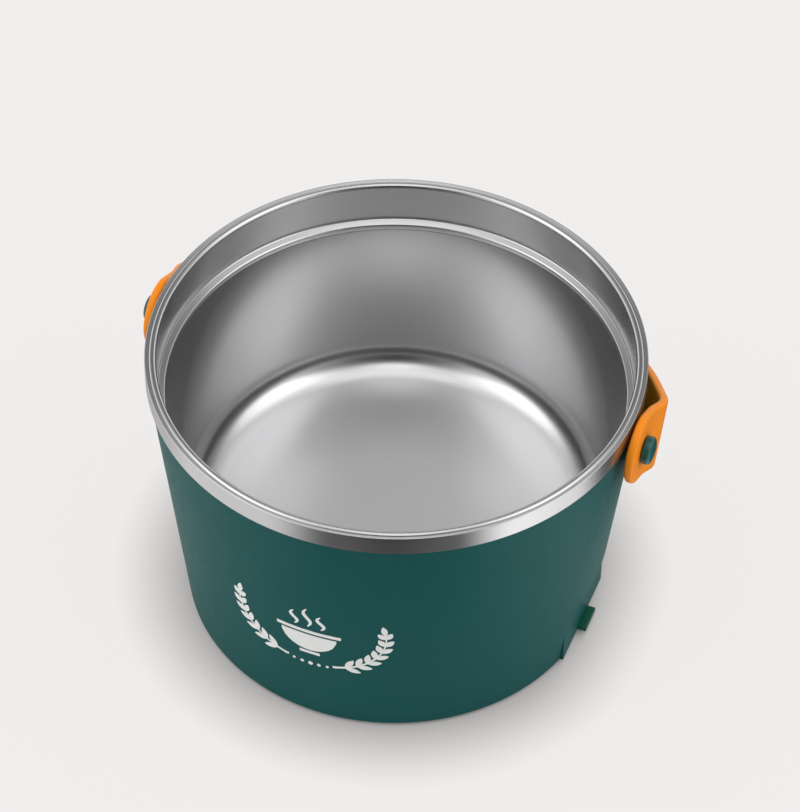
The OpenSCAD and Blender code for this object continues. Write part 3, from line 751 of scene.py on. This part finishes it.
def grey_ramp(tree, value, stops):
    """A brightness that follows a value from 0 to 1 through stops of (place, brightness)."""
    ramp = tree.nodes.new("ShaderNodeValToRGB")
    ramp.color_ramp.interpolation = "EASE"
    points = ramp.color_ramp.elements
    while len(points) < len(stops):
        points.new(0.5)
    for _ in range(2):
        for point, (at, grey) in zip(points, stops):
            point.position = at
            point.color = (grey, grey, grey, 1)
    tree.links.new(value, ramp.inputs[0])
    return ramp.outputs[0]


def turn_about(tree, coordinates):
    """The bearing from 0 to 1, and the coordinates' x, y and z."""
    split = tree.nodes.new("ShaderNodeSeparateXYZ")
    tree.links.new(coordinates, split.inputs[0])
    x, y, z = split.outputs
    turned = maths(tree, "SUBTRACT", maths(tree, "ARCTAN2", y, x), VIEW_TURN)
    bearing = maths(tree, "DIVIDE", turned, 2 * math.pi)
    return maths(tree, "FRACT", maths(tree, "ADD", bearing, BEARING_SHIFT)), x, y, z


def build_floor():
    """Pale floor, level with the foot. The pot's soft contact shadow is painted into the floor's
    glow from ambient occlusion, with a little real shadow from the lamps. Away from the pot, steel
    sees painted light and shade on the floor by bearing."""
    m = Nodes("floor")
    tree = m.tree
    m.set(Base_Color=linear(PAPER), Roughness=0.9, Specular_IOR_Level=0.1)
    # Painted contact shadow: the floor's glow darkens where ambient occlusion finds the pot close
    # by
    open_sky = m.add("ShaderNodeAmbientOcclusion", {"Distance": SHADOW_REACH}, samples=8)
    painted_contact_shadow = maths(tree, "POWER", open_sky.outputs["AO"], SHADOW_DEPTH)
    bearing, x, y, _ = turn_about(tree, m.coordinates())
    away = m.ranged(off_axis(tree, x, y), MIRROR_PAINT_FROM, MIRROR_PAINT_TO, interpolation_type="SMOOTHSTEP")
    mirrored = tree.nodes.new("ShaderNodeLightPath").outputs["Is Glossy Ray"]
    # Painted reflection: away from the pot, mirror rays see the floor's glow dimmed or raised by
    # bearing
    mirror_paint = maths(tree, "MULTIPLY", maths(tree, "MULTIPLY", away, mirrored),
                 maths(tree, "SUBTRACT", 1.0, grey_ramp(tree, bearing, FLOOR_PAINT_FOR_STEEL)))
    strength = maths(tree, "MULTIPLY", painted_contact_shadow, maths(tree, "SUBTRACT", 1.0, mirror_paint))
    glow = m.add("ShaderNodeEmission", {"Color": linear(PAPER), "Strength": strength})
    share = maths(tree, "MULTIPLY", seen_as_is(tree), PAPER_SHARE)
    mix = m.add("ShaderNodeMixShader", {"Fac": share})
    tree.links.new(m.shader.outputs[0], mix.inputs[1])
    tree.links.new(glow.outputs[0], mix.inputs[2])
    tree.links.new(mix.outputs[0], tree.nodes["Material Output"].inputs["Surface"])
    mesh = bpy.data.meshes.new("floor")
    r = FLOOR_REACH
    mesh.from_pydata([(-r, -r, 0), (r, -r, 0), (r, r, 0), (-r, r, 0)], [], [(0, 1, 2, 3)])
    mesh.materials.append(m.material)
    obj = add_object("floor", mesh)


def build_world():
    """Studio surroundings: bright on both sides and overhead, dark towards the camera."""
    world = bpy.data.worlds.new("studio")
    bpy.context.scene.world = world
    world.use_nodes = True
    tree = world.node_tree
    outwards = tree.nodes.new("ShaderNodeTexCoord").outputs["Generated"]
    bearing, _, _, z = turn_about(tree, outwards)
    level = blend(tree, grey_ramp(tree, z, MID_BY_HEIGHT), grey_ramp(tree, bearing, WORLD_LOW),
                  grey_ramp(tree, bearing, WORLD_MID))
    level = blend(tree, grey_ramp(tree, z, TOP_BY_HEIGHT), level, grey_ramp(tree, z, OVERHEAD))
    back = tree.nodes["Background"]
    back.inputs["Color"].default_value = (1, 1, 1, 1)
    tree.links.new(level, back.inputs["Strength"])


def build_lamp(name, azimuth, elevation, width, strength):
    """A soft lamp far away. Azimuth 0 is the camera's side, positive to its right."""
    light = bpy.data.lights.new(name, "SUN")
    light.angle = math.radians(width)
    light.energy = strength
    obj = add_object(name, light)
    turn = VIEW_TURN + math.radians(azimuth) - math.pi / 2
    up = math.radians(elevation)
    towards = Vector((math.cos(turn) * math.cos(up), math.sin(turn) * math.cos(up), math.sin(up)))
    obj.rotation_euler = towards.to_track_quat("Z", "Y").to_euler()


def build_camera():
    camera = bpy.data.cameras.new("camera")
    camera.lens = LENS
    camera.sensor_width = SENSOR
    obj = add_object("camera", camera)
    obj.matrix_world = (Matrix.Translation(CAMERA_AT) @ Matrix.Rotation(VIEW_TURN, 4, "Z")
                        @ Matrix.Rotation(math.pi / 2 - VIEW_PITCH, 4, "X")
                        @ Matrix.Rotation(VIEW_ROLL, 4, "Z"))
    bpy.context.scene.camera = obj


satin = steel("satin_steel", STEEL, 0.22, floor_roughness=0.34)
bright = steel("bright_steel", STEEL, 0.24, brushed=0.8)
green = plastic("green_plastic", GREEN, 0.45, specular=0.05)
green_rivet = plastic("green_rivet", RIVET_GREEN, 0.28)
green_rubber = plastic("green_rubber", GREEN_SOFT, 0.5, specular=0.3)
orange = plastic("orange_strap", ORANGE, 0.42, specular=0.2, variation=0.04)
black = plastic("black_plastic", BLACK, 0.45)
rubber = plastic("black_rubber", RUBBER, 0.7)
seal = plastic("seal_ring", SEAL, 0.4)
felt = plastic("insulation", FELT, 0.9, grain=0.00008, grain_scale=1800)
ceramic = plastic("ceramic", CERAMIC, 0.6)
plated = steel("plated_steel", PLATED, 0.3)
aluminium = steel("aluminium", ALUMINIUM, 0.36)
red_wire = plastic("red_wire", RED, 0.4)
white_wire = plastic("white_wire", WHITE, 0.4)

build_bowl(satin)
build_band(bright)
build_strap(orange)
build_rivet(1, "rivet_right", "right_rivet", green_rivet)
build_rivet(-1, "rivet_left", "left_rivet", green_rivet)
dress(["outer_shell", "base_cover"], green)
build_flap(green, green_rubber)
build_print(ink("white_ink"))
dress(["rim_seal"], seal)
dress(["insulation_sleeve"], felt)
dress(["heat_plate", "heater_clamp", "heat_shield", "fuse_clip"], aluminium)
dress(["clamp_screws", "shield_nuts", "socket_pins", "socket_screws", "base_screws"], plated)
dress(["ptc_heater", "thermal_fuse"], ceramic)
dress(["power_socket", "thermostat", "right_washer", "left_washer"], black)
dress(["foot_ring"], rubber)
dress(["live_lead", "link_lead"], red_wire)
dress(["return_lead", "neutral_lead"], white_wire)

build_floor()
build_world()
for lamp, setting in LAMPS.items():
    build_lamp(lamp, *setting)
build_camera()
bpy.context.scene.view_settings.view_transform = "Standard"
